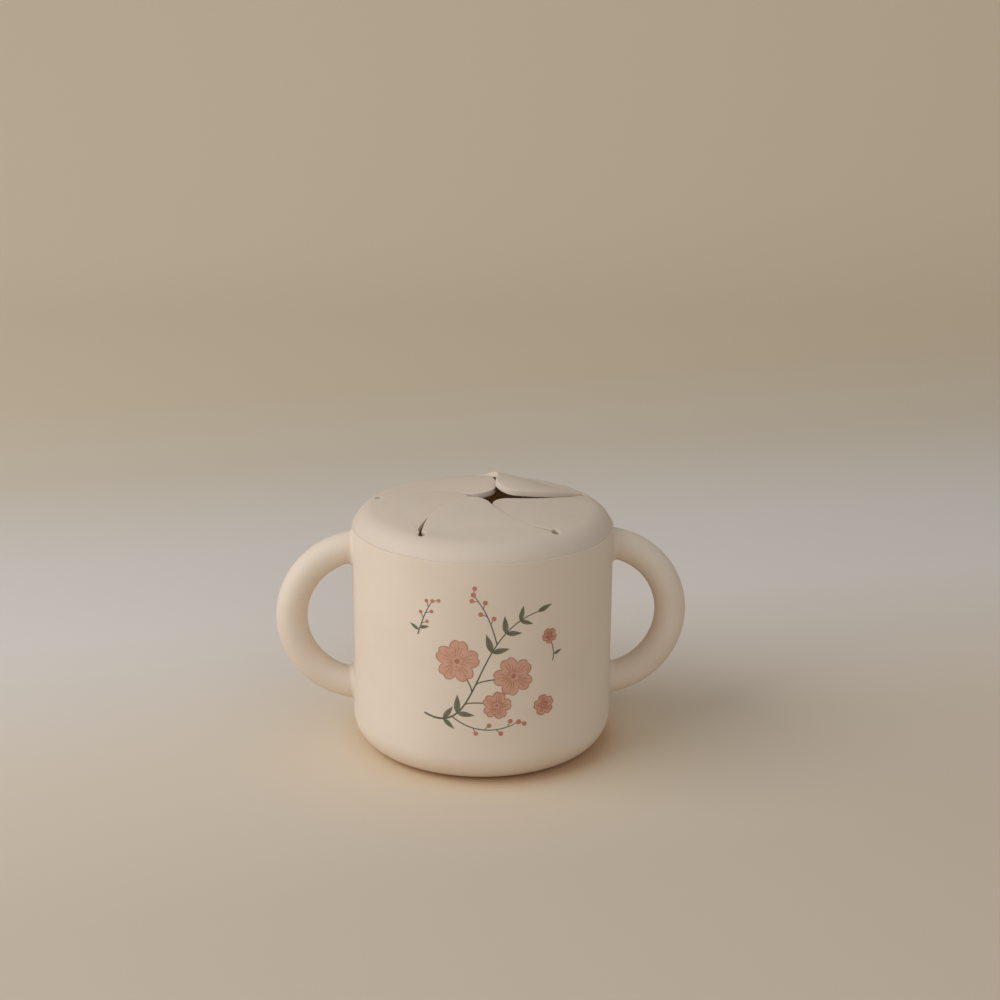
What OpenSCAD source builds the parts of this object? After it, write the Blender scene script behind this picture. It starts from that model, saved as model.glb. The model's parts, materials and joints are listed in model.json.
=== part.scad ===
// Two-handled toddler snack cup with a press-on lid of five flexing petals.
// Millimetres, +Z up. The origin is the centre of the cup's base, and the handles lie along X.

/* [Cup] */
// Outer diameter of the cup's wall
cup_d = 85; // [76:1:100]
// Height of the ledge that the lid's edge sits on
ledge_h = 74.4; // [70:0.2:90]
// Thickness of the wall
wall_t = 3; // [2.4:0.1:3.6]
// Thickness of the base
base_t = 3.2; // [2.4:0.1:5]
// Outer round between the wall and the base
base_round_r = 10.5; // [7:0.5:12]
// Inner round between the wall and the floor
floor_round_r = 8; // [5:0.5:10]
// Diameter of the shallow recess under the base
recess_d = 46; // [30:1:50]
// Depth of the recess under the base
recess_depth = 0.6; // [0.3:0.1:1]
// Height of the rim above the ledge
rim_h = 2.5; // [1.8:0.1:3]
// Radius of the rim's mouth measured in from the cup's outer wall
mouth_inset = 5.9; // [5:0.1:7]

/* [Handles] */
// Radius of the centre line of each ring handle
handle_ring_r = 24; // [20:0.5:24.5]
// Thickness of the round handle
handle_d = 10.2; // [8:0.2:11]
// Drop from the ledge to the top of the handle
handle_drop = 2; // [1.8:0.1:4]
// How far the centre of the ring lies inside the wall
handle_set_in = 4.1; // [2:0.1:6]
// Radius of the fillet between each end of the handle and the wall
root_fillet_r = 1.6; // [0.8:0.1:1.8]

/* [Lid] */
// Thickness of the lid
lid_t = 1.9; // [1.6:0.1:2.2]
// Height of the middle of the lid above the ledge
lid_rise = 8.7; // [8.2:0.1:10]
// Fall of the dome from its middle to its edge
dome_drop = 4.4; // [3.6:0.1:5]
// Round between the dome and the skirt
shoulder_r = 8.4; // [8:0.1:9.5]
// How far the shoulder's widest line lies outside the cup's wall
lid_proud = 0.3; // [0:0.05:0.4]
// Running clearance between the lid and the rim inside it
lid_gap = 0.3; // [0.2:0.05:0.4]

/* [Petals] */
// How far the relief holes' centres lie inside the cup's outer wall
relief_inset = 7; // [6.8:0.1:10]
// Diameter of the relief hole at the end of each slit
relief_hole_d = 2.6; // [2:0.1:3]
// Width of the slits
slit_w = 0.3; // [0.2:0.05:0.4]
// How far each slit bows from a straight line
slit_bow = 5; // [3:0.25:5.5]
// Radius of the petals' tips
tip_r = 6.5; // [4:0.1:8]
// How much thicker than half the lid the rounded root bead is
bead_extra = 0.65; // [0.55:0.05:0.75]
// Clearance around the root bead
hinge_gap = 0.2; // [0.15:0.05:0.3]
// Length of root that stays with the rim at each petal's narrow corner
root_cut = 6; // [5.5:0.5:9]
// Angle at which the back right petal stands up
raised_angle = 9; // [0:1:30]

/* [Hidden] */

// The petals, counted counterclockwise from the front one, which points to -Y
petal_count = 5;
petal_step = 360 / petal_count;
front_turn = -90;
// Steps in one arc of an outline
arc_steps = 10;
// Facets round the spheres of the dome
dome_facets = 240;
// Margin by which a cutting solid runs past what it cuts
past = 1;
$fn = 96;

cup_color = [0.93, 0.87, 0.79];
lid_color = [0.90, 0.84, 0.77];

cup_r = cup_d / 2;
inner_r = cup_r - wall_t;
mouth_r = cup_r - mouth_inset;
rim_top = ledge_h + rim_h;

// The dome is a sphere's cap, and the shoulder's circle touches it from inside
lid_top = ledge_h + lid_rise;
lid_r = cup_r + lid_proud;
dome_r = (lid_r * lid_r + dome_drop * dome_drop) / (2 * dome_drop);
dome_z = lid_top - dome_r;
shoulder_x = lid_r - shoulder_r;
shoulder_z = dome_z + sqrt(pow(dome_r - shoulder_r, 2) - pow(shoulder_x, 2));
// Angle on the shoulder's circle, above the horizontal, where the dome starts
dome_angle = 90 - asin(shoulder_x / (dome_r - shoulder_r));

// The rim follows the lid's inside at the clearance
rim_arc_r = shoulder_r - lid_t - lid_gap;
rim_foot_r = circle_x(rim_arc_r, ledge_h);
rim_lip_r = circle_x(rim_arc_r, rim_top);

handle_z = ledge_h - handle_drop - handle_d / 2 - handle_ring_r;
handle_x = cup_r - handle_set_in;
// Angle on the handle's ring, from its end, at which the centre line meets the wall
root_angle = asin(handle_set_in / handle_ring_r);

relief_circle_r = cup_r - relief_inset;
// The hinge line of a petal is the chord between two neighbouring relief holes
hinge_r = relief_circle_r * cos(petal_step / 2);
half_chord = relief_circle_r * sin(petal_step / 2);
hinge_z = (dome_height(hinge_r) + dome_height(relief_circle_r)) / 2 - lid_t / 2;
bead_r = lid_t / 2 + bead_extra;
// Every slit is an arc of this radius, through the lid's middle and its relief hole
slit_r = (pow(relief_circle_r / 2, 2) + pow(slit_bow, 2)) / (2 * slit_bow);
slit_centre = [relief_circle_r / 2, slit_r - slit_bow];
first_centre = turned(slit_centre, -petal_step / 2);
last_centre = turned(slit_centre, petal_step / 2);

// x of the circle of radius r about the shoulder's centre at height z
function circle_x(r, z) = shoulder_x + sqrt(pow(r, 2) - pow(z - shoulder_z, 2));

// Height of the lid's outside at distance r from its middle
function dome_height(r) = dome_z + sqrt(pow(dome_r, 2) - pow(r, 2));

// Point p turned about the origin by angle a
function turned(p, a) = [p[0] * cos(a) - p[1] * sin(a), p[0] * sin(a) + p[1] * cos(a)];

// Points on a circle from angle a to angle b, both ends included
function arc(c, r, a, b) =
    [for (i = [0 : arc_steps]) c + r * [cos(a + (b - a) * i / arc_steps), sin(a + (b - a) * i / arc_steps)]];

// Angle of point p seen from c, from 0 up to 360
function bearing(c, p) = (atan2(p[1] - c[1], p[0] - c[0]) + 360) % 360;

// The crossing of two circles that lies on the right of the line from c1 to c2
function crossing(c1, r1, c2, r2) =
    let (d = norm(c2 - c1),
         along = (r1 * r1 - r2 * r2 + d * d) / (2 * d),
         side = sqrt(r1 * r1 - along * along),
         u = (c2 - c1) / d)
    c1 + along * u + side * [u[1], -u[0]];

// Outline of one petal in its own frame: the hinge line is x = hinge_r, and the tip is near the origin.
// The convex side follows the slit before the petal and the hollow side follows the slit after it.
// inset moves both sides in from the middle of the slits.
function petal_outline(inset) =
    let (outer = slit_r - inset,
         inner = slit_r + inset,
         tip = crossing(last_centre, inner + tip_r, first_centre, outer - tip_r),
         corner_y = half_chord - root_cut - inset,
         wide = [hinge_r, first_centre[1] - sqrt(pow(outer, 2) - pow(hinge_r - first_centre[0], 2))],
         narrow = [last_centre[0] + sqrt(pow(inner, 2) - pow(corner_y - last_centre[1], 2)), corner_y],
         a_wide = bearing(first_centre, wide),
         a_first = bearing(first_centre, tip),
         a_last = bearing(tip, last_centre),
         a_narrow = bearing(last_centre, narrow))
    concat(arc(first_centre, outer, a_first, a_wide),
           [[hinge_r, corner_y]],
           arc(last_centre, inner, a_narrow, a_last + 180),
           arc(tip, tip_r, a_last, a_first));

// Outside of the cup below the ledge
module cup_outer() {
    rotate_extrude()
        polygon(concat([[0, 0]],
                       arc([cup_r - base_round_r, base_round_r], base_round_r, -90, 0),
                       [[cup_r, ledge_h], [0, ledge_h]]));
}

module cup_body() {
    // Where the inside starts to narrow towards the rim's mouth
    narrow_z = ledge_h - wall_t - (inner_r - mouth_r);
    color(cup_color)
    rotate_extrude()
        polygon(concat([[0, recess_depth], [recess_d / 2, recess_depth], [recess_d / 2 + recess_depth, 0]],
                       arc([cup_r - base_round_r, base_round_r], base_round_r, -90, 0),
                       [[cup_r, ledge_h]],
                       arc([shoulder_x, shoulder_z], rim_arc_r,
                           bearing([shoulder_x, shoulder_z], [rim_foot_r, ledge_h]),
                           bearing([shoulder_x, shoulder_z], [rim_lip_r, rim_top])),
                       [[mouth_r, rim_top], [mouth_r, ledge_h - wall_t], [inner_r, narrow_z]],
                       arc([inner_r - floor_round_r, base_t + floor_round_r], floor_round_r, 0, -90),
                       [[0, base_t]]));
}

// Collar with a concave fillet, which stands on the wall around one end of the handle
module root_collar() {
    handle_r = handle_d / 2;
    // The collar's top tapers into the handle
    collar_h = 2 * root_fillet_r;
    collar_taper = root_fillet_r / 4;
    rotate_extrude()
        polygon(concat([[0, -past], [handle_r + root_fillet_r, -past]],
                       arc([handle_r + root_fillet_r, root_fillet_r], root_fillet_r, -90, -180),
                       [[handle_r - collar_taper, collar_h], [0, collar_h]]));
}

// side is 1 for the handle at +X and -1 for the one at -X
module ring_handle(side) {
    color(cup_color)
    mirror([side < 0 ? 1 : 0, 0, 0])
        difference() {
            translate([handle_x, 0, handle_z])
                union() {
                    rotate([90, 0, 0])
                        rotate([0, 0, -90])
                            rotate_extrude(angle = 180)
                                translate([handle_ring_r, 0])
                                    circle(d = handle_d);
                    for (up = [-1, 1])
                        rotate([0, up * root_angle, 0])
                            translate([0, 0, up * handle_ring_r])
                                rotate([0, 90, 0])
                                    root_collar();
                }
            cup_outer();
        }
}

module handle_left() {
    ring_handle(-1);
}

module handle_right() {
    ring_handle(1);
}

// The skirt, shoulder and outer dome in one turned shell, from the seat up
module lid_shell() {
    centre = [shoulder_x, shoulder_z];
    inside_r = shoulder_r - lid_t;
    seat_angle = asin(max(0, ledge_h - shoulder_z) / shoulder_r);
    inner_seat_angle = asin(max(0, ledge_h - shoulder_z) / inside_r);
    // The petals' cuts reach past the circle that the shell starts from
    start_r = hinge_r - root_cut;
    mid_r = (start_r + shoulder_x) / 2;
    rotate_extrude()
        polygon(concat([for (r = [start_r, mid_r, shoulder_x - past]) [r, dome_height(r) - lid_t]],
                       arc(centre, inside_r, dome_angle, inner_seat_angle),
                       [[circle_x(inside_r, max(ledge_h, shoulder_z)), ledge_h]],
                       [[circle_x(shoulder_r, max(ledge_h, shoulder_z)), ledge_h]],
                       arc(centre, shoulder_r, seat_angle, dome_angle),
                       [for (r = [shoulder_x - past, mid_r, start_r]) [r, dome_height(r)]]));
}

// Places its children in the frame of petal number i
module at_petal(i) {
    rotate([0, 0, front_turn + i * petal_step])
        children();
}

module relief_holes() {
    for (i = [0 : petal_count - 1])
        at_petal(i + 0.5)
            translate([relief_circle_r, 0, ledge_h])
                cylinder(h = lid_rise + past, d = relief_hole_d);
}

// A rod of radius r along the hinge line, from y = a to y = b
module hinge_rod(r, a, b) {
    translate([hinge_r, a, hinge_z])
        rotate([-90, 0, 0])
            cylinder(h = b - a, r = r);
}

module lid_rim() {
    color(lid_color)
    difference() {
        lid_shell();
        for (i = [0 : petal_count - 1])
            at_petal(i) {
                translate([0, 0, ledge_h])
                    linear_extrude(lid_rise + past)
                        polygon(petal_outline(-slit_w / 2));
                hinge_rod(bead_r + hinge_gap, -half_chord, half_chord - root_cut + slit_w / 2);
            }
        relief_holes();
    }
}

// Petal number i, turned up about its hinge line by lift degrees
module petal(i, lift = 0) {
    color(lid_color)
    at_petal(i)
        translate([hinge_r, 0, hinge_z])
            rotate([0, lift, 0])
                translate([-hinge_r, 0, -hinge_z])
                    difference() {
                        intersection() {
                            union() {
                                difference() {
                                    translate([0, 0, ledge_h])
                                        linear_extrude(lid_rise + past)
                                            polygon(petal_outline(slit_w / 2));
                                    dome(dome_r - lid_t);
                                }
                                hinge_rod(bead_r, slit_w + relief_hole_d / 2 - half_chord,
                                          half_chord - root_cut - slit_w / 2);
                            }
                            dome(dome_r);
                        }
                        relief_hole_before();
                    }
}

// The relief hole at a petal's wide corner, in the petal's own frame
module relief_hole_before() {
    rotate([0, 0, -petal_step / 2])
        translate([relief_circle_r, 0, ledge_h])
            cylinder(h = lid_rise + past, d = relief_hole_d);
}

module dome(r) {
    translate([0, 0, dome_z])
        sphere(r = r, $fn = dome_facets);
}

module petal_front() {
    petal(0);
}

module petal_right() {
    petal(1);
}

module petal_back_right() {
    petal(2, raised_angle);
}

module petal_back_left() {
    petal(3);
}

module petal_left() {
    petal(4);
}

cup_body();
handle_left();
handle_right();
lid_rim();
petal_front();
petal_right();
petal_back_right();
petal_back_left();
petal_left();
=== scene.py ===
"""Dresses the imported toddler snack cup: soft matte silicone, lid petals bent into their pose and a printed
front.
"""

import json
import math

import bmesh
import bpy
import numpy as np
from mathutils import Matrix, Vector
from mathutils.geometry import delaunay_2d_cdt


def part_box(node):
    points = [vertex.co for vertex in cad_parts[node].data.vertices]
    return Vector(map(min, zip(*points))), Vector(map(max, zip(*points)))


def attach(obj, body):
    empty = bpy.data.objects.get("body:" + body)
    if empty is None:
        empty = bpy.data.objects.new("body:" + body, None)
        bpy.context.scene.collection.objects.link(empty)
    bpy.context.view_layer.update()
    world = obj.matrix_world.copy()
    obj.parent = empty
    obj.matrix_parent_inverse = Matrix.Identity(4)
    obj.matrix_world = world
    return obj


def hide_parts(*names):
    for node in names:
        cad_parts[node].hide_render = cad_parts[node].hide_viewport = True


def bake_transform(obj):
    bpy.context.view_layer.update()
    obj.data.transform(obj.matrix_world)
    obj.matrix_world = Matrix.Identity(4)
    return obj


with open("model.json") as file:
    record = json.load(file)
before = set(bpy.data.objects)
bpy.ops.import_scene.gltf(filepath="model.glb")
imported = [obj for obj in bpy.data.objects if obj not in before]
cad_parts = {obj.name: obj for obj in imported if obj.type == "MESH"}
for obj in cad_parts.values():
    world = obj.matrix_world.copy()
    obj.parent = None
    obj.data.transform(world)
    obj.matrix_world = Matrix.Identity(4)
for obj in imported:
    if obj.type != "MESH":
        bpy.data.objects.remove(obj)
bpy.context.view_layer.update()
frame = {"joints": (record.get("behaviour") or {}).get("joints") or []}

# Sizes are in millimetres and angles in degrees, and to_object() turns them into Blender's metres.
MM = 0.001

# Cup and lid, from the frame
CUP_R = round(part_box("cup_body")[1].x / MM, 1)
RIM_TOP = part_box("cup_body")[1].z / MM
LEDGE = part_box("lid_rim")[0].z / MM
JOINTS = {joint["name"]: joint for joint in frame["joints"]}
PETALS = ["petal_front", "petal_right", "petal_back_right", "petal_back_left", "petal_left"]
STEP = 360 / len(PETALS)
HINGE_R = -JOINTS["petal_front_flex"]["pos_m"][1] / MM
HINGE_Z = JOINTS["petal_front_flex"]["pos_m"][2] / MM

# Cup
BASE_ROUND = 10.5
BASE_T = 3.2
FLOOR_ROUND = 8
WALL_T = 3
MOUTH_R = CUP_R - 5.9
RECESS_R = 23
RECESS_DEPTH = 0.6
RECESS_EDGE_R = 0.4
RIM_GAP = 0.3
RIM_EDGE_R = 0.3
NECK_TOP_R = 1.5
NECK_FOOT_R = 2
SEAM_EDGE_R = 0.05
CUP_SEGMENTS = 256

# Handles. Their fillets end, and their tubes are closed, so far within the wall.
HANDLE_RING_R = 24
HANDLE_TUBE_R = 5.1
HANDLE_X = CUP_R - 4.1
HANDLE_Z = (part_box("handle_left")[0].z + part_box("handle_left")[1].z) / 2 / MM
FILLET_ABOVE = 0.9
FILLET_INSIDE = 2.2
FILLET_SINK = 0.02
END_SINK = 1.0
HANDLE_COLUMNS = 64
HANDLE_STEPS = 80
FILLET_STEPS = 10

# Lid. Its petals bend between ROOT_X and BEND_END_X, and the rings of its skirt start at CAP_R.
LID_T = 1.9
LID_R = CUP_R + 0.1
DOME_DROP = 4.4
LID_RISE = 8.7
SHOULDER_R = 8.4
RELIEF_R = 1.3
RELIEF_CIRCLE_R = HINGE_R / math.cos(math.radians(STEP / 2))
HALF_CHORD = HINGE_R * math.tan(math.radians(STEP / 2))
SLIT_W = 0.1
SLIT_BOW = 5
TIP_R = 6.5
EDGE_R = 0.16
ROOT_X = HINGE_R + 0.48
BEND_END_X = HINGE_R - 6
CAP_R = 37.6
LID_PITCH = 0.9
RIM_COLUMNS = 360

# Steps in a petal's edge, round its last relief hole, along each slit, round the tip and round its first
# hole, and in the rim's part of a relief hole and the root line
LAST_HOLE_STEPS, SLIT_STEPS, TIP_STEPS, FIRST_HOLE_STEPS = 6, 70, 18, 8
RIM_HOLE_STEPS = 28
ROOT_STEPS = 44

# Print: how far its middle is turned from the front, how high its foot is, how the ink films are layered,
# and how large their triangles are
PRINT_TURN = -1.5
PRINT_FOOT = 6
INK_ROOT = 0.02
INK_STEP = 0.0004
INK_EDGE = 0.9
INK_PITCH = 1.0

# How far from a relief hole a gap between two petals closes, what share of the one beside the last hole
# leans towards the rim, and how far off the petal's middle line its droop is full
GAP_LENGTH = 16
GAP_SLANT = 0.2
DROOP_WIDTH = 8

# Each petal's lift, sag, roll, pull, arch, droop, and gaps beside its first and last hole, in the order of
# PETALS
PETAL_POSES = [
    (3.6, 0, -3.2, 0.2, 0, 0, -0.3, 0),
    (0.2, 0, -0.4, 0.9, 0, 0, 1.5, 0),
    (9.9, 2.4, 9.6, 3, 1.85, 0.7, 0, 0),
    (1.0, 0, -7, -2.3, 0.3, 0, 0, 0),
    (0, 0, 0, 0, 0, 0, 0, 2.6)]

# Dome, shoulder and slits as circles: how large they are, where their middles lie, and where they meet
DOME_R = (LID_R ** 2 + DOME_DROP ** 2) / (2 * DOME_DROP)
DOME_Z = LEDGE + LID_RISE - DOME_R
SHOULDER_X = LID_R - SHOULDER_R
SHOULDER_Z = DOME_Z + math.sqrt((DOME_R - SHOULDER_R) ** 2 - SHOULDER_X ** 2)
TANGENT_R = SHOULDER_X * DOME_R / (DOME_R - SHOULDER_R)
SLIT_R = ((RELIEF_CIRCLE_R / 2) ** 2 + SLIT_BOW ** 2) / (2 * SLIT_BOW)


# ---------------------------------------------------------------- geometry

def arc(centre, radius, start, end, steps):
    """Points on a circle from angle start to angle end, both included."""
    angles = np.radians(np.linspace(start, end, steps + 1))
    return np.column_stack([centre[0] + radius * np.cos(angles), centre[1] + radius * np.sin(angles)])


def bearing(centre, point):
    """Angle of point seen from centre, from 0 up to 360."""
    return math.degrees(math.atan2(point[1] - centre[1], point[0] - centre[0])) % 360


def turned(point, angle):
    """Point turned about the origin."""
    c, s = math.cos(math.radians(angle)), math.sin(math.radians(angle))
    return np.array([point[0] * c - point[1] * s, point[0] * s + point[1] * c])


def crossing(c1, r1, c2, r2):
    """The crossing of two circles that lies on the right of the line from c1 to c2."""
    c1, c2 = np.array(c1, float), np.array(c2, float)
    distance = np.linalg.norm(c2 - c1)
    along = (r1 * r1 - r2 * r2 + distance * distance) / (2 * distance)
    side = math.sqrt(r1 * r1 - along * along)
    u = (c2 - c1) / distance
    return c1 + along * u + side * np.array([u[1], -u[0]])


def rounded(corners):
    """A polyline through corners (x, y, radius) with each corner rounded by its radius."""
    points = []
    for i, (x, y, radius) in enumerate(corners):
        here = np.array([x, y], float)
        if radius == 0 or i in (0, len(corners) - 1):
            points.append(here)
            continue
        back = np.array(corners[i - 1][:2], float) - here
        on = np.array(corners[i + 1][:2], float) - here
        back, on = back / np.linalg.norm(back), on / np.linalg.norm(on)
        half = math.acos(np.clip(back @ on, -1, 1)) / 2
        middle = (back + on) / np.linalg.norm(back + on)
        centre = here + middle * radius / math.sin(half)
        first = here + back * radius / math.tan(half) - centre
        last = here + on * radius / math.tan(half) - centre
        sweep = math.pi - 2 * half
        longest_step = 4 if radius > 1 else 15
        steps = math.ceil(math.degrees(sweep) / longest_step)
        for k in range(steps + 1):
            a = math.sin(sweep * (1 - k / steps)) / math.sin(sweep)
            b = math.sin(sweep * k / steps) / math.sin(sweep)
            points.append(centre + a * first + b * last)
    return np.array(points)


def densified(points, longest):
    """The polyline with every segment cut to at most the length given."""
    out = [points[0]]
    for a, b in zip(points[:-1], points[1:]):
        count = max(1, math.ceil(np.linalg.norm(b - a) / longest))
        out += [a + (b - a) * k / count for k in range(1, count + 1)]
    return np.array(out)


def to_object(name, points, faces, material, sharp=40):
    """A smooth-shaded mesh object, with edges sharper than the angle given left crisp."""
    mesh = bpy.data.meshes.new(name)
    mesh.from_pydata([tuple(p) for p in np.asarray(points) * MM], [], [tuple(f) for f in faces])
    mesh.validate()
    work = bmesh.new()
    work.from_mesh(mesh)
    bmesh.ops.recalc_face_normals(work, faces=work.faces)
    work.to_mesh(mesh)
    work.free()
    mesh.shade_smooth()
    mesh.set_sharp_from_angle(angle=math.radians(sharp))
    mesh.materials.append(material)
    piece = bpy.data.objects.new(name, mesh)
    bpy.context.scene.collection.objects.link(piece)
    return piece


def lathe(profile, segments):
    """Closed solid of revolution about Z from a profile of (r, z) that starts and ends on the axis."""
    inner = profile[1:-1]
    rows = len(inner)
    turn = np.linspace(0, 2 * math.pi, segments, endpoint=False)
    points = [(0, 0, profile[0][1])]
    points += [(r * math.cos(t), r * math.sin(t), z) for t in turn for r, z in inner]
    points.append((0, 0, profile[-1][1]))
    top = len(points) - 1
    faces = []
    for i in range(segments):
        a, b = 1 + i * rows, 1 + (i + 1) % segments * rows
        faces.append((0, b, a))
        faces += [(a + j, b + j, b + j + 1, a + j + 1) for j in range(rows - 1)]
        faces.append((a + rows - 1, b + rows - 1, top))
    return points, faces


def strips(rings):
    """Quads between closed rings of point numbers, from each ring to the next."""
    faces = []
    for upper, lower in zip(rings[:-1], rings[1:]):
        for i in range(len(upper)):
            j = (i + 1) % len(upper)
            faces.append((upper[i], lower[i], lower[j], upper[j]))
    return faces


def inside(points, outline):
    """For each point, whether it lies inside the closed outline."""
    x, y = points[:, 0][:, None], points[:, 1][:, None]
    x1, y1 = outline[:, 0], outline[:, 1]
    x2, y2 = np.roll(x1, -1), np.roll(y1, -1)
    crosses = (y1 > y) != (y2 > y)
    with np.errstate(divide="ignore", invalid="ignore"):
        at = x1 + (y - y1) * (x2 - x1) / (y2 - y1)
    return (np.sum(crosses & (x < at), axis=1) % 2).astype(bool)


def hexagonal(low, high, pitch):
    """Points of a triangular grid over a rectangle."""
    columns = np.arange(low[0], high[0], pitch)
    rows = np.arange(low[1], high[1], pitch * math.sqrt(3) / 2)
    return np.array([(x + (i % 2) * pitch / 2, y) for i, y in enumerate(rows) for x in columns])


def far_from(points, others, distance, at_once=500):
    """The points that lie further than the distance from all the others, tested so many at once."""
    keep = np.ones(len(points), bool)
    for start in range(0, len(points), at_once):
        block = points[start:start + at_once]
        gaps = np.linalg.norm(block[:, None] - others[None], axis=2)
        keep[start:start + at_once] = gaps.min(axis=1) > distance
    return points[keep]


# What delaunay_2d_cdt() is to give back, triangles within the outlines, how near two points are one, and how
# far the grid stays off the lines as a share of its pitch
WITHIN_OUTLINES = 1
SAME_POINT = 1e-7
OFF_LINES = 0.6


def filled(outlines, chains, pitch):
    """Triangles that fill the area between closed outlines, in two dimensions.

    The first outline is the outer one, and the others are holes in it. The chains are open lines that the
    triangles follow. Returns the points, the triangles, and the numbers of the outlines' points in order.
    """
    border = np.vstack(outlines)
    lines = np.vstack([border] + list(chains))
    grid = hexagonal(border.min(0), border.max(0), pitch)
    grid = grid[inside(grid, outlines[0])]
    for hole in outlines[1:]:
        grid = grid[~inside(grid, hole)]
    grid = far_from(grid, lines, pitch * OFF_LINES)
    points = np.vstack([lines, grid])
    edges = []
    start = 0
    for outline in outlines:
        edges += [(start + i, start + (i + 1) % len(outline)) for i in range(len(outline))]
        start += len(outline)
    for chain in chains:
        edges += [(start + i, start + i + 1) for i in range(len(chain) - 1)]
        start += len(chain)
    corners, _, faces, sources, _, _ = delaunay_2d_cdt(
        [Vector(p) for p in points], edges, [], WITHIN_OUTLINES, SAME_POINT)
    corners = np.array([tuple(p) for p in corners])
    triangles = np.array([tuple(t) for t in faces])
    for hole in outlines[1:]:
        triangles = triangles[~inside(corners[triangles].mean(axis=1), hole)]
    place = {source: index for index, origin in enumerate(sources) for source in origin}
    return corners, triangles, [place[i] for i in range(len(border))]


# ---------------------------------------------------------------- lid surface

def lid_height(r):
    """Height of the lid's outside at distance r from its middle."""
    r = np.asarray(r, float)
    dome = DOME_Z + np.sqrt(DOME_R ** 2 - np.minimum(r, TANGENT_R) ** 2)
    out = np.clip(r - SHOULDER_X, 0, SHOULDER_R)
    return np.where(r <= TANGENT_R, dome, SHOULDER_Z + np.sqrt(SHOULDER_R ** 2 - out ** 2))


def lid_normal(xy):
    """Outward unit normals of the lid's outside over points of the plane."""
    r = np.maximum(np.linalg.norm(xy, axis=1), 1e-9)
    lean = np.where(r <= TANGENT_R, r / DOME_R, (r - SHOULDER_X) / SHOULDER_R)
    lean = np.clip(lean, 0, 1)
    return np.column_stack([xy[:, 0] / r * lean, xy[:, 1] / r * lean, np.sqrt(1 - lean ** 2)])


# Distances of a rounded edge's lines from the side wall, up to where the flat starts
EDGE_INSETS = [EDGE_R * (1 - math.cos(math.radians(a))) for a in (0, 25, 45, 65, 90)]


def lid_points(xy, drop, side):
    """Places points of the plane on the lid's outer (side 0) or inner (side 1) skin, sunk by the drop."""
    depth = drop if side == 0 else LID_T - drop
    skin = np.column_stack([xy, lid_height(np.linalg.norm(xy, axis=1))])
    return skin - lid_normal(xy) * np.asarray(depth)[:, None]


def two_skins(flat, triangles, drop):
    """The lid's outer and inner skins over triangles of the plane, with the outer skin's points first."""
    count = len(flat)
    points = np.vstack([lid_points(flat, drop, 0), lid_points(flat, drop, 1)])
    faces = [tuple(t) for t in triangles] + [tuple(t[::-1] + count) for t in triangles]
    return points, faces


def side_wall(ring, count):
    """Faces that join the outer and inner skins along a closed ring of the outer skin's points."""
    return [(b, a, a + count, b + count) for a, b in zip(ring, ring[1:] + ring[:1])]


def edge_drop(distance):
    """How far a rounded edge lies below the flat at a distance in from the side wall."""
    reach = np.clip(EDGE_R - distance, 0, EDGE_R)
    return EDGE_R - np.sqrt(EDGE_R ** 2 - reach ** 2)


def distance_to_line(points, line):
    """Distance of each point of the plane from an open polyline."""
    a, step = line[:-1], line[1:] - line[:-1]
    share = ((points[:, None] - a[None]) * step[None]).sum(axis=2) / (step ** 2).sum(axis=1)
    nearest = a[None] + np.clip(share, 0, 1)[..., None] * step[None]
    return np.linalg.norm(points[:, None] - nearest, axis=2).min(axis=1)


# ---------------------------------------------------------------- petal outline

SLIT_CENTRE = (RELIEF_CIRCLE_R / 2, SLIT_R - SLIT_BOW)
FIRST_CENTRE = turned(SLIT_CENTRE, -STEP / 2)
LAST_CENTRE = turned(SLIT_CENTRE, STEP / 2)
TIP_CENTRE = crossing(LAST_CENTRE, SLIT_R + SLIT_W / 2 + TIP_R, FIRST_CENTRE, SLIT_R - SLIT_W / 2 - TIP_R)
FIRST_HOLE = np.array([HINGE_R, -HALF_CHORD])
LAST_HOLE = np.array([HINGE_R, HALF_CHORD])


def root_y(inset):
    """Where the root line meets the relief hole's edge, moved in by the inset."""
    return HALF_CHORD - math.sqrt((RELIEF_R + inset) ** 2 - (ROOT_X - HINGE_R) ** 2)


def petal_edge(inset):
    """One petal's free edge, from the root line at +Y round the tip to the root line at -Y."""
    outer = SLIT_R - SLIT_W / 2 - inset
    inner = SLIT_R + SLIT_W / 2 + inset
    hole = RELIEF_R + inset
    last_meet = crossing(LAST_CENTRE, inner, LAST_HOLE, hole)
    first_meet = crossing(FIRST_CENTRE, outer, FIRST_HOLE, hole)
    last_tip = bearing(TIP_CENTRE, LAST_CENTRE)
    first_tip = bearing(FIRST_CENTRE, TIP_CENTRE)
    last_root = bearing(LAST_HOLE, (ROOT_X, root_y(inset)))
    first_root = bearing(FIRST_HOLE, (ROOT_X, -root_y(inset)))
    parts = [
        arc(LAST_HOLE, hole, last_root, bearing(LAST_HOLE, last_meet), LAST_HOLE_STEPS),
        arc(LAST_CENTRE, inner, bearing(LAST_CENTRE, last_meet), last_tip + 180, SLIT_STEPS),
        arc(TIP_CENTRE, TIP_R - inset, last_tip, first_tip, TIP_STEPS),
        arc(FIRST_CENTRE, outer, first_tip, bearing(FIRST_CENTRE, first_meet), SLIT_STEPS),
        arc(FIRST_HOLE, hole, bearing(FIRST_HOLE, first_meet), first_root, FIRST_HOLE_STEPS)]
    return np.vstack([parts[0]] + [part[1:] for part in parts[1:]])


def root_line():
    """Y of the points on the root line, from low to high, which the petal and the rim share."""
    ends = [root_y(inset) for inset in EDGE_INSETS]
    middle = np.linspace(-ends[-1], ends[-1], ROOT_STEPS + 1)[1:-1]
    return np.concatenate([[-y for y in ends], middle, ends[::-1]])


# ---------------------------------------------------------------- pieces of the lid

def facing(index):
    """The angle from +X to a petal's middle line, counterclockwise from above."""
    return -90 + STEP * index


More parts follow.
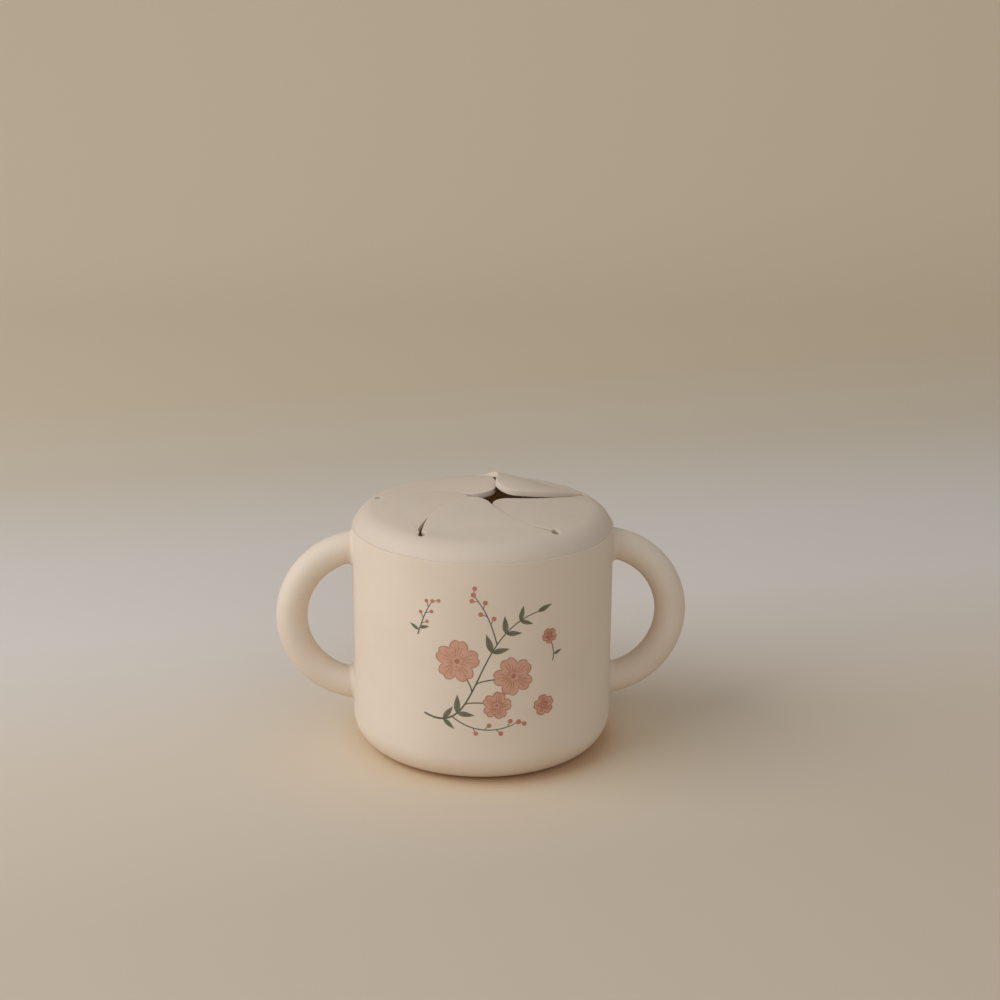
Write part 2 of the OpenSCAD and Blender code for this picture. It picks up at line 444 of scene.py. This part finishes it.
def flexed(points, angle):
    """Points of the petal's own frame, turned up about the hinge line and bending smoothly near the root."""
    t = np.clip((ROOT_X - points[:, 0]) / (ROOT_X - BEND_END_X), 0, 1)
    turn = np.radians(angle) * t * t * (3 - 2 * t)
    x, z = points[:, 0] - HINGE_R, points[:, 2] - HINGE_Z
    return np.column_stack([
        HINGE_R + x * np.cos(turn) + z * np.sin(turn),
        points[:, 1],
        HINGE_Z - x * np.sin(turn) + z * np.cos(turn)])


def settled(points, sag, roll, pull, arch, droop, first_gap, last_gap):
    """Points of the petal's own frame, deformed as the soft skin settles.

    The tip sinks by the sag and is pulled back, the sides roll about the petal's bowed middle line, the
    middle arches up, the first side droops between root and tip, and the edges beside the first and last
    relief holes draw away from the neighbouring petals.
    """
    x, y = points[:, 0], points[:, 1]
    reach = np.clip((ROOT_X - x) / ROOT_X, 0, 1)
    half = HINGE_R / 2
    off_middle = y + SLIT_BOW * (1 - ((x - half) / half) ** 2)
    near_first = np.clip(1 - np.hypot(x - FIRST_HOLE[0], y - FIRST_HOLE[1]) / GAP_LENGTH, 0, 1)
    near_last = np.clip(1 - np.hypot(x - LAST_HOLE[0], y - LAST_HOLE[1]) / GAP_LENGTH, 0, 1)
    off_root = np.clip((ROOT_X - x) / RELIEF_R, 0, 1)
    to_first = np.clip(-off_middle / DROOP_WIDTH, 0, 1)
    out = points.copy()
    out[:, 0] += reach ** 2 * pull + GAP_SLANT * last_gap * near_last * off_root
    out[:, 1] += (first_gap * near_first ** 3 - last_gap * near_last) * off_root
    out[:, 2] += off_middle * np.sin(np.radians(roll) * reach) - reach ** 1.5 * sag
    out[:, 2] += 4 * (arch - droop * to_first) * reach * (1 - reach)
    return out


def around(points, angle):
    """Points turned about Z."""
    c, s = math.cos(math.radians(angle)), math.sin(math.radians(angle))
    x, y = points[:, 0], points[:, 1]
    return np.column_stack([x * c - y * s, x * s + y * c, points[:, 2]])


def petal(index, material, lift, *pose):
    """One petal, turned up about its hinge line by the lift and settled by the pose."""
    name = PETALS[index]
    edge = petal_edge(0)
    outline = np.vstack([edge, [(ROOT_X, y) for y in root_line()[1:-1]]])
    flat, triangles, border = filled([outline], [petal_edge(inset) for inset in EDGE_INSETS[1:]], LID_PITCH)
    slits = edge[LAST_HOLE_STEPS:-FIRST_HOLE_STEPS]
    distance = np.minimum.reduce([
        distance_to_line(flat, slits),
        np.linalg.norm(flat - FIRST_HOLE, axis=1) - RELIEF_R,
        np.linalg.norm(flat - LAST_HOLE, axis=1) - RELIEF_R])
    points, faces = two_skins(flat, triangles, edge_drop(distance))
    faces += side_wall(border, len(flat))
    points = around(flexed(settled(points, *pose), lift), facing(index))
    piece = to_object(name + "_skin", points, faces, material)
    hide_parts(name)
    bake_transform(piece)


def lid_rim(material):
    """The lid's skirt, shoulder and outer dome, up to the petals' roots."""
    cap = arc((0, 0), CAP_R, 0, 360, RIM_COLUMNS)[:-1]
    holes = [turned(LAST_HOLE, facing(index)) for index in range(len(PETALS))]
    inner, chains = [], []
    for index, hole in enumerate(holes):
        turn = facing(index)
        inner += [turned((ROOT_X, y), turn) for y in root_line()]
        for inset in EDGE_INSETS:
            start = -math.degrees(math.atan2(HALF_CHORD - root_y(inset), ROOT_X - HINGE_R))
            rim = arc(hole, RELIEF_R + inset, turn + start, turn + STEP - start, RIM_HOLE_STEPS)
            if inset == 0:
                inner += list(rim[1:-1])
            else:
                chains.append(rim)
    flat, triangles, border = filled([cap, np.array(inner)], chains, LID_PITCH)
    distance = np.min([np.linalg.norm(flat - hole, axis=1) - RELIEF_R for hole in holes], axis=0)
    points, faces = two_skins(flat, triangles, edge_drop(distance))
    count = len(flat)
    faces += side_wall(border[RIM_COLUMNS:], count)
    rings = [border[:RIM_COLUMNS]]
    turns = np.radians(np.arange(RIM_COLUMNS) * 360 / RIM_COLUMNS)
    for r, z in skirt_profile()[1:-1]:
        ring = np.column_stack([r * np.cos(turns), r * np.sin(turns), np.full(RIM_COLUMNS, z)])
        rings.append(range(len(points), len(points) + RIM_COLUMNS))
        points = np.vstack([points, ring])
    rings.append([i + count for i in border[:RIM_COLUMNS]])
    faces += strips(rings)
    piece = to_object("lid_rim_skin", points, faces, material)
    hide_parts("lid_rim")
    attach(piece, "lid")


def skirt_profile():
    """(r, z) from the dome's outer skin at CAP_R, down the shoulder, round the seat and up inside."""
    centre = (SHOULDER_X, SHOULDER_Z)
    cap = math.degrees(math.acos((CAP_R - SHOULDER_X) / SHOULDER_R))
    inner_r = SHOULDER_R - LID_T
    seat = math.degrees(math.asin((LEDGE - SHOULDER_Z) / SHOULDER_R))
    inner_seat = math.degrees(math.asin((LEDGE - SHOULDER_Z) / inner_r))
    down = [(*p, 0) for p in arc(centre, SHOULDER_R, cap, seat, steps=12)]
    down[-1] = (*down[-1][:2], SEAM_EDGE_R)
    up = [(*p, 0) for p in arc(centre, inner_r, inner_seat, cap, steps=9)]
    up[0] = (*up[0][:2], SEAM_EDGE_R)
    return rounded(down + up)


# ---------------------------------------------------------------- cup and handles

def cup_body(material):
    """The cup with its ledge and rim, as one turned solid."""
    rim_r = SHOULDER_R - LID_T - RIM_GAP
    foot = math.degrees(math.asin((LEDGE - SHOULDER_Z) / rim_r))
    lip = math.degrees(math.asin((RIM_TOP - SHOULDER_Z) / rim_r))
    rim = [(*p, 0) for p in arc((SHOULDER_X, SHOULDER_Z), rim_r, foot, lip, steps=6)]
    inner_r = CUP_R - WALL_T
    corners = [
        (0, RECESS_DEPTH, 0), (RECESS_R, RECESS_DEPTH, RECESS_EDGE_R),
        (RECESS_R + RECESS_DEPTH, 0, RECESS_EDGE_R), (CUP_R, 0, BASE_ROUND), (CUP_R, LEDGE, SEAM_EDGE_R),
        *rim[:-1], (*rim[-1][:2], RIM_EDGE_R), (MOUTH_R, RIM_TOP, RIM_EDGE_R),
        (MOUTH_R, LEDGE - WALL_T, NECK_TOP_R), (inner_r, LEDGE - 2 * WALL_T, NECK_FOOT_R),
        (inner_r, BASE_T, FLOOR_ROUND), (0, BASE_T, 0)]
    points, faces = lathe(densified(rounded(corners), longest=2), CUP_SEGMENTS)
    piece = to_object("cup_skin", points, faces, material)
    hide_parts("cup_body")
    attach(piece, "cup")


def handle(name, side, material):
    """A ring handle whose ends flow into the wall with a fillet. side is 1 at +X and -1 at -X."""
    around_tube = np.linspace(0, 2 * math.pi, HANDLE_COLUMNS, endpoint=False)
    fillet = FILLET_ABOVE + (FILLET_INSIDE - FILLET_ABOVE) * (1 - np.cos(around_tube)) / 2

    def ring(height_off_wall, height_off_tube, share):
        """A ring of the surface, so far off wall and tube. share runs from 1, above, to -1, below."""
        reach = HANDLE_TUBE_R + height_off_tube
        out = HANDLE_RING_R + reach * np.cos(around_tube)
        y = reach * np.sin(around_tube)
        end = np.arccos((np.sqrt((CUP_R + height_off_wall) ** 2 - y ** 2) - HANDLE_X) / out)
        turn = end * share
        return np.column_stack([side * (HANDLE_X + out * np.cos(turn)), y, HANDLE_Z + out * np.sin(turn)])

    bend = np.radians(np.linspace(90, 0, FILLET_STEPS + 1))
    ends = [(fillet * (1 - math.sin(t)) - FILLET_SINK, fillet * (1 - math.cos(t))) for t in bend]
    ends.insert(0, (-END_SINK, fillet))
    rows = [ring(wall, tube, 1) for wall, tube in ends]
    rows += [ring(fillet, 0, share) for share in np.linspace(1, -1, HANDLE_STEPS + 1)[1:-1]]
    rows += [ring(wall, tube, -1) for wall, tube in ends[::-1]]
    points = np.vstack(rows)
    rings = np.arange(len(points)).reshape(-1, HANDLE_COLUMNS)
    faces = strips(rings)
    for end in (rings[0], rings[-1]):
        middle = len(points)
        points = np.vstack([points, points[end].mean(axis=0)])
        faces += [(a, b, middle) for a, b in zip(end, np.roll(end, -1))]
    piece = to_object(name + "_skin", points, faces, material)
    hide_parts(name)
    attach(piece, "cup")


# ---------------------------------------------------------------- materials

def new_material(name):
    """A material, with add(type, **inputs) and link(socket, socket) for its nodes, and its shader."""
    material = bpy.data.materials.new(name)
    material.use_nodes = True
    tree = material.node_tree
    shader = tree.nodes["Principled BSDF"]

    def add(kind, **inputs):
        node = tree.nodes.new(kind)
        for key, value in inputs.items():
            node.inputs[key.replace("_", " ")].default_value = value
        return node

    return material, add, tree.links.new, shader


def linear(*srgb):
    """An sRGB colour from 0 to 255 as linear RGBA."""
    channels = [c / 255 for c in srgb]
    return (*[c / 12.92 if c <= 0.04045 else ((c + 0.055) / 1.055) ** 2.4 for c in channels], 1)


def clouded(name, noise, dark, light, roughest):
    """A dull material whose colour and roughness drift with a noise: (material, add, link, shader, place).

    dark and light are each a noise value and the colour at it. place is the node of texture coordinates.
    """
    material, add, link, shader = new_material(name)
    place = add("ShaderNodeTexCoord")
    cloud = add("ShaderNodeTexNoise", **noise)
    link(place.outputs["Object"], cloud.inputs["Vector"])
    ramp = add("ShaderNodeValToRGB")
    for element, (at, colour) in zip(ramp.color_ramp.elements, (dark, light)):
        element.position, element.color = at, linear(*colour)
    link(cloud.outputs["Fac"], ramp.inputs["Fac"])
    link(ramp.outputs["Color"], shader.inputs["Base Color"])
    gloss = add("ShaderNodeMapRange", To_Min=0.5, To_Max=roughest)
    link(cloud.outputs["Fac"], gloss.inputs["Value"])
    link(gloss.outputs["Result"], shader.inputs["Roughness"])
    shader.inputs["Specular IOR Level"].default_value = 0.35
    return material, add, link, shader, place


def silicone(name, light, dark):
    """Matte silicone: nearly even colour, a fine grain and a slight softness in the moulding."""
    material, add, link, shader, place = clouded(
        name, {"Scale": 45, "Detail": 3, "Roughness": 0.55}, (0.35, dark), (0.65, light), 0.64)
    grain = add("ShaderNodeTexNoise", Scale=2600, Detail=2, Roughness=0.6)
    link(place.outputs["Object"], grain.inputs["Vector"])
    fine = add("ShaderNodeBump", Strength=0.12, Distance=0.00006)
    link(grain.outputs["Fac"], fine.inputs["Height"])
    swell = add("ShaderNodeTexNoise", Scale=60, Detail=1, Roughness=0.4)
    link(place.outputs["Object"], swell.inputs["Vector"])
    soft = add("ShaderNodeBump", Strength=0.25, Distance=0.0003)
    link(swell.outputs["Fac"], soft.inputs["Height"])
    link(fine.outputs["Normal"], soft.inputs["Normal"])
    link(soft.outputs["Normal"], shader.inputs["Normal"])
    shader.inputs["Subsurface Weight"].default_value = 0.12
    shader.inputs["Subsurface Radius"].default_value = (1.0, 0.45, 0.2)
    shader.inputs["Subsurface Scale"].default_value = 0.0015
    return material


def ink(name, light, dark):
    """Silk-screen ink on silicone: slightly uneven colour and the same dull surface."""
    return clouded(name, {"Scale": 420, "Detail": 3, "Roughness": 0.6}, (0.38, dark), (0.62, light), 0.62)[0]


# ---------------------------------------------------------------- printed front

def bezier(a, b, c, d, steps=24):
    """Points on a cubic curve."""
    t = np.linspace(0, 1, steps + 1)[:, None]
    a, b, c, d = (np.array(p, float) for p in (a, b, c, d))
    return (1 - t) ** 3 * a + 3 * t * (1 - t) ** 2 * b + 3 * t * t * (1 - t) * c + t ** 3 * d


def stroke(line, start_width, end_width):
    """Outline of a line drawn with a tapering width and round ends."""
    line = np.array(line, float)
    along = np.gradient(line, axis=0)
    along /= np.linalg.norm(along, axis=1)[:, None]
    side = np.column_stack([-along[:, 1], along[:, 0]])
    half = np.linspace(start_width, end_width, len(line))[:, None] / 2
    cap = np.radians(np.array([45, 90, 135]))[:, None]
    end = line[-1] + half[-1] * (np.cos(cap) * -side[-1] + np.sin(cap) * along[-1])
    start = line[0] + half[0] * (np.cos(cap) * side[0] - np.sin(cap) * along[0])
    return np.vstack([line - side * half, end, (line + side * half)[::-1], start])


def headings(line):
    """The direction of a line at each of its points, in degrees."""
    x, y = np.gradient(line, axis=0).T
    return np.degrees(np.arctan2(y, x))


def disc(centre, radius, steps=14):
    """A round outline."""
    return arc(centre, radius, 0, 360, steps)[:-1]


def leaf(base, direction, length, width):
    """Outline of a pointed leaf from its base."""
    t = np.linspace(0, 1, 15)
    half = width / 2 * np.sin(math.pi * t ** 0.8) * (1 - 0.25 * t)
    lower = np.column_stack([t * length, -half])[1:-1]
    upper = np.column_stack([t * length, half])[::-1]
    return np.array([base + turned(p, direction) for p in np.vstack([lower, upper])])


def blossom_edge(radius, turn):
    """Outline of an open flower with five notched petals, seen from the front."""
    angles = np.arange(0, 360, 4.0)
    off = (angles + 36) % 72 - 36
    lobe = np.maximum(np.cos(np.radians(off * 90 / 38)), 0) ** 0.5
    notch = 0.11 * np.exp(-(off / 7) ** 2)
    reach = radius * (0.5 + 0.5 * lobe - notch)
    a = np.radians(angles + turn)
    return np.column_stack([reach * np.cos(a), reach * np.sin(a)])


# Each petal of a blossom has veins, by their turn off its middle and where they start and end on the radius,
# and stamens, by their turn and where they stand on the radius
BLOSSOM_PETALS = 5
VEINS = [(-36, 0.2, 0.47), (-15, 0.34, 0.68), (0, 0.3, 0.78), (15, 0.34, 0.68)]
STAMENS, STAMEN_AT = (18, -18), 0.27
FINE_LINE, VEIN_END = 0.2, 0.12


def blossom(centre, radius, turn):
    """An open flower: the outline of its fill, and its fine lines."""
    centre = np.array(centre, float)
    edge = blossom_edge(radius, turn)
    lines = []
    for middle in np.arange(0, 360, 360 / BLOSSOM_PETALS) + turn:
        for off, first, last in VEINS:
            shares = (first, (first + last) / 2, last)
            vein = [centre + turned((radius * share, 0), middle + off) for share in shares]
            lines.append(stroke(vein, FINE_LINE, VEIN_END))
        for off in STAMENS:
            lines.append(disc(centre + turned((radius * STAMEN_AT, 0), middle + off), FINE_LINE, steps=8))
    lines.append(disc(centre, radius * 0.11))
    ring = np.vstack([edge, edge[:1]])
    points_a_petal = len(edge) // BLOSSOM_PETALS
    for first in range(0, len(edge), points_a_petal):
        lines.append(stroke(centre + ring[first:first + points_a_petal + 1], FINE_LINE, FINE_LINE))
    return centre + edge, lines


def decal(name, outlines, material, height):
    """A thin closed film of ink on the wall for every outline of (distance round the front, height)."""
    points, faces = [], []
    for number, outline in enumerate(outlines):
        outline = densified(np.vstack([outline, outline[:1]]), INK_EDGE)[:-1]
        flat, triangles, border = filled([outline], [], INK_PITCH)
        start, count = len(points), len(flat)
        turn = np.radians(PRINT_TURN) + flat[:, 0] / CUP_R
        for radius in (CUP_R + height + number * INK_STEP, CUP_R - INK_ROOT):
            skin = np.column_stack([radius * np.sin(turn), -radius * np.cos(turn), PRINT_FOOT + flat[:, 1]])
            points += list(skin)
        faces += [tuple(t + start) for t in triangles]
        faces += [tuple(t[::-1] + start + count) for t in triangles]
        faces += side_wall([i + start for i in border], count)
    piece = to_object(name, points, faces, material)
    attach(piece, "cup")


def printed_front():
    """A generic spray of open flowers, leaves and berries printed across the front."""
    branch = bezier((-20, 18), (-1, 10), (-6, 47), (16, 52), 40)
    heading = headings(branch)
    stems = [stroke(branch, 0.62, 0.3)]
    leaves, ribs, berries = [], [], []

    def sprout(base, direction, length):
        """A leaf with its midrib."""
        leaves.append(leaf(base, direction, length, length * 0.36))
        rib = [base + turned((length * share, 0), direction) for share in (0, 0.4, 0.82)]
        ribs.append(stroke(rib, 0.22, 0.12))

    def berry_spray(curve, radius):
        """A side stem with berries on short stalks, alternately left and right."""
        stems.append(stroke(curve, 0.4, 0.24))
        ways = headings(curve)
        for number, at in enumerate(range(len(curve) // 3, len(curve), len(curve) // 6)):
            tip = curve[at] + turned((2.1, 0), ways[at] + (48 if number % 2 else -48))
            stems.append(stroke([curve[at], (curve[at] + tip) / 2, tip], 0.24, 0.2))
            berries.append(disc(tip, radius))
        berries.append(disc(curve[-1], radius * 1.1))

    for at, length in ((5, 5.4), (10, 6.2), (27, 6.4), (32, 5.8), (36, 5.0)):
        sprout(branch[at], heading[at] + 46, length)
        sprout(branch[at], heading[at] - 50, length * 0.9)
    sprout(branch[-1], heading[-1] + 6, 5.2)
    berry_spray(bezier(branch[29], (1, 50), (-1, 54), (-4.5, 58.5)), 0.75)
    berry_spray(bezier(branch[8], (-5, 13), (3, 12.5), (10, 16)), 0.75)
    berry_spray(bezier((-22.5, 44), (-21, 48), (-20.5, 51), (-17.5, 55.5)), 0.6)
    sprout(np.array((-22.2, 45.4)), 150, 3.6)
    sprout(np.array((-22.0, 46.2)), 14, 3.6)
    for foot, head in ((17, (-9.5, 35.5)), (19, (7.6, 31.0)), (13, (2.5, 22.5))):
        stems.append(stroke(bezier(branch[foot], branch[foot] + (0.6, 2), head, head, 8), 0.42, 0.32))
    stems.append(stroke(bezier((21.5, 35), (22.2, 37), (21.5, 40), (20.6, 42), 8), 0.34, 0.28))
    sprout(np.array((21.9, 37.0)), 20, 3.2)
    fills, lines = [], []
    for centre, radius, turn in (((-9.5, 36.5), 7.2, 12), ((8.2, 31.5), 6.6, 40), ((3.0, 22.0), 4.7, 5),
                                 ((18.5, 20.5), 3.6, 28), ((20.2, 43.4), 2.6, 50)):
        fill, drawn = blossom(centre, radius, turn)
        fills.append(fill)
        lines += drawn
    decal("print_stems", stems, ink("stem_ink", (104, 99, 78), (94, 90, 71)), 0.03)
    decal("print_leaves", leaves, ink("leaf_ink", (124, 119, 95), (108, 104, 82)), 0.045)
    decal("print_leaf_ribs", ribs, ink("rib_ink", (92, 88, 68), (84, 80, 62)), 0.06)
    decal("print_blossoms", fills, ink("blossom_ink", (208, 161, 135), (200, 150, 123)), 0.06)
    decal("print_berries", berries, ink("berry_ink", (192, 130, 104), (180, 118, 93)), 0.06)
    decal("print_lines", lines, ink("line_ink", (178, 120, 96), (168, 109, 86)), 0.075)


# ---------------------------------------------------------------- stage, light and camera

# Painted shade and painted warm glow on the paper round the cup's foot, as factors on its colour by the
# distance from the cup's middle in metres
PAINTED_SHADE_GLOW_MIDDLE = (0.004, -0.001, 0)
PAINTED_SHADE_GLOW_NEAR, PAINTED_SHADE_GLOW_FAR = 0.037, 0.09
PAINTED_SHADE_GLOW_BANDS = [
    (0.037, (0.95, 0.75, 0.58)), (0.04, (1.02, 0.9, 0.75)), (0.0425, (1.05, 0.97, 0.85)),
    (0.0465, (1.06, 1.02, 0.92)), (0.053, (1.04, 1.02, 0.96)), (0.066, (1.02, 1, 0.97)),
    (0.09, (1, 1, 1))]

# Colour of the paper, its own warm tone with painted bands of light and falloff, by its distance behind the
# cup's middle in metres, along a way slightly to the left
PAPER_WAY = (-0.2, 1, 0)
PAPER_NEAR, PAPER_FAR = -0.3, 1.0
PAPER_AND_PAINTED_LIGHT_BANDS = [
    (-0.1, (209, 193, 172)), (0, (218, 204, 185)), (0.12, (225, 217, 207)), (0.22, (221, 213, 203)),
    (0.34, (214, 202, 183)), (0.5, (217, 201, 175)), (0.9, (229, 211, 182))]

# What the camera sees past the paper's edge, from the sides
BEYOND_PAPER = (142, 132, 118)

# Camera: its place in millimetres, and how far it is turned from +Y to +X, tilted down and rolled
CAMERA_PLACE = (-41.7, -612.0, 268.8)
CAMERA_PAN, CAMERA_TILT, CAMERA_ROLL = 4.415, 16.927, 0.556
CAMERA_LENS = 71.22


def stage(material):
    """One sheet that is the floor in front and curves up into the backdrop behind."""
    half_width, front, back, bend, top = 3000, -6000, 1600, 900, 3000
    line = rounded([(front, 0, 0), (back, 0, bend), (back, top, 0)])
    points = [(x, y, z) for y, z in line for x in (-half_width, half_width)]
    faces = [(2 * i, 2 * i + 1, 2 * i + 3, 2 * i + 2) for i in range(len(line) - 1)]
    piece = to_object("backdrop", points, faces, material)


def paper(name):
    """Plain warm studio paper, with soft bands of light, and shade and a warm glow round the cup's foot,
    painted into its colour.
    """
    material, add, link, shader = new_material(name)

    def banded(value, near, far, bands):
        """A colour that runs through the bands as the value goes from near to far."""
        share = add("ShaderNodeMapRange", From_Min=near, From_Max=far)
        link(value, share.inputs["Value"])
        ramp = add("ShaderNodeValToRGB")
        elements = ramp.color_ramp.elements
        while len(elements) < len(bands):
            elements.new(0.5)
        for element, (at, colour) in zip(elements, bands):
            element.position = (at - near) / (far - near)
            element.color = colour
        link(share.outputs["Result"], ramp.inputs["Fac"])
        return ramp.outputs["Color"]

    place = add("ShaderNodeTexCoord")
    behind = add("ShaderNodeVectorMath")
    behind.operation = "DOT_PRODUCT"
    behind.inputs[1].default_value = PAPER_WAY
    link(place.outputs["Object"], behind.inputs[0])
    away = add("ShaderNodeVectorMath")
    away.operation = "DISTANCE"
    away.inputs[1].default_value = PAINTED_SHADE_GLOW_MIDDLE
    link(place.outputs["Object"], away.inputs[0])
    # The paper's own tone with painted bands of light across it
    sheet = [(at, linear(*colour)) for at, colour in PAPER_AND_PAINTED_LIGHT_BANDS]
    # Painted shade and painted warm glow round the cup's foot, multiplied into the paper's colour
    painted_shade_glow = [(at, (*factors, 1)) for at, factors in PAINTED_SHADE_GLOW_BANDS]
    mix = add("ShaderNodeMix")
    mix.data_type, mix.blend_type = "RGBA", "MULTIPLY"
    # The Mix node has a set of sockets for each data type, and these are the ones for colours
    share, first, second = (mix.inputs[i] for i in (0, 6, 7))
    share.default_value = 1
    link(banded(behind.outputs["Value"], PAPER_NEAR, PAPER_FAR, sheet), first)
    link(banded(away.outputs["Value"], PAINTED_SHADE_GLOW_NEAR, PAINTED_SHADE_GLOW_FAR, painted_shade_glow), second)
    link(mix.outputs[2], shader.inputs["Base Color"])
    shader.inputs["Roughness"].default_value = 0.9
    shader.inputs["Specular IOR Level"].default_value = 0.1
    return material


def area_light(name, place, target, size, power, colour):
    """A square lamp at a place that faces the target."""
    data = bpy.data.lights.new(name, "AREA")
    data.size, data.energy, data.color = size, power, colour
    lamp = bpy.data.objects.new(name, data)
    lamp.location = place
    lamp.visible_camera = False
    lamp.rotation_euler = (Vector(target) - Vector(place)).to_track_quat("-Z", "Y").to_euler()
    bpy.context.scene.collection.objects.link(lamp)


def camera():
    """The photo's viewpoint: 670 mm from the cup's foot, 24 degrees above it and slightly to its left."""
    pan, tilt, roll = (math.radians(a) for a in (CAMERA_PAN, CAMERA_TILT, CAMERA_ROLL))
    forward = Vector((math.sin(pan) * math.cos(tilt), math.cos(pan) * math.cos(tilt), -math.sin(tilt)))
    level = Vector((math.cos(pan), -math.sin(pan), 0))
    above = level.cross(forward)
    right = level * math.cos(roll) + above * math.sin(roll)
    up = above * math.cos(roll) - level * math.sin(roll)
    data = bpy.data.cameras.new("camera")
    data.lens, data.sensor_width = CAMERA_LENS, 36
    data.clip_start, data.clip_end = 0.02, 20
    view = bpy.data.objects.new("camera", data)
    view.matrix_world = Matrix((right, up, -forward)).transposed().to_4x4()
    view.location = Vector(CAMERA_PLACE) * MM
    bpy.context.scene.collection.objects.link(view)
    bpy.context.scene.camera = view


def lighting():
    """A large soft lamp from the left, a weaker one in front, an even sky, and a faint warm lamp in the cup.

    The lamp inside stands for the little light that passes through the silicone.
    """
    world = bpy.data.worlds.new("world")
    bpy.context.scene.world = world
    world.use_nodes = True
    tree = world.node_tree
    sky = tree.nodes["Background"]
    sky.inputs["Color"].default_value = (0.98, 1.0, 1.04, 1)
    sky.inputs["Strength"].default_value = 0.4
    beyond = tree.nodes.new("ShaderNodeBackground")
    beyond.inputs["Color"].default_value = linear(*BEYOND_PAPER)
    path = tree.nodes.new("ShaderNodeLightPath")
    seen = tree.nodes.new("ShaderNodeMixShader")
    tree.links.new(path.outputs["Is Camera Ray"], seen.inputs[0])
    tree.links.new(sky.outputs[0], seen.inputs[1])
    tree.links.new(beyond.outputs[0], seen.inputs[2])
    tree.links.new(seen.outputs[0], tree.nodes["World Output"].inputs["Surface"])
    middle = (0, 0, 0.04)
    area_light("key", (-0.96, -0.29, 0.64), middle, size=1.2, power=9.6, colour=(0.98, 1.0, 1.05))
    area_light("fill", (0.2, -1.4, 0.8), middle, size=1.4, power=3.2, colour=(0.98, 1.0, 1.04))
    area_light("inside", (0, 0, 0.006), (0, 0, 0.08), size=0.04, power=0.001, colour=(1, 0.55, 0.1))


camera()
lighting()
stage(paper("studio_paper"))
cup_silicone = silicone("cup_silicone_matte", (224, 208, 187), (221, 204, 183))
lid_silicone = silicone("lid_silicone_matte", (215, 198, 179), (212, 195, 176))
cup_body(cup_silicone)
handle("handle_left", -1, cup_silicone)
handle("handle_right", 1, cup_silicone)
lid_rim(lid_silicone)
for number, pose in enumerate(PETAL_POSES):
    petal(number, lid_silicone, *pose)
printed_front()

bpy.context.scene.view_settings.view_transform = "Standard"
